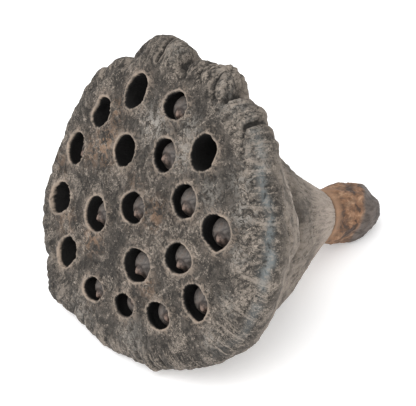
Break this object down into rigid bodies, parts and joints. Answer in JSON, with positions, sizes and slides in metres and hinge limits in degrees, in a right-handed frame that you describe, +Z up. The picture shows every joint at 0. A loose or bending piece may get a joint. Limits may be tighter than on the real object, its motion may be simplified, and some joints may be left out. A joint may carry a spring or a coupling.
{
  "type": "dried lotus seed pod",
  "caption": "Dried lotus seed pod with its cut stem, lying on its side, with open seed chambers and loose seeds in some of them.",
  "frame": {"origin": "centre of the bounding box in X and Y, at the surface that the pod lies on in Z", "axes": "+Z up from the surface the pod lies on, +Y along the pod towards the cut end of its stem, the seed face towards -Y and tipped upwards"},
  "size_m": [0.092, 0.1006, 0.0782],
  "materials": {
    "pod_skin": "rough, mottled grey-brown dried plant skin",
    "stem_bark": "matt tan-brown dried stalk with dark patches",
    "seed_shell": "matt grey-brown nut shell"
  },
  "bodies": {
    "root": {"receptacle": "pod_skin", "stem": "stem_bark", "seed_01": "seed_shell", "seed_02": "seed_shell", "seed_03": "seed_shell", "seed_04": "seed_shell", "seed_05": "seed_shell", "seed_06": "seed_shell", "seed_07": "seed_shell", "seed_08": "seed_shell", "seed_09": "seed_shell", "seed_10": "seed_shell", "seed_11": "seed_shell", "seed_12": "seed_shell", "seed_13": "seed_shell"}
  },
  "joints": []
}
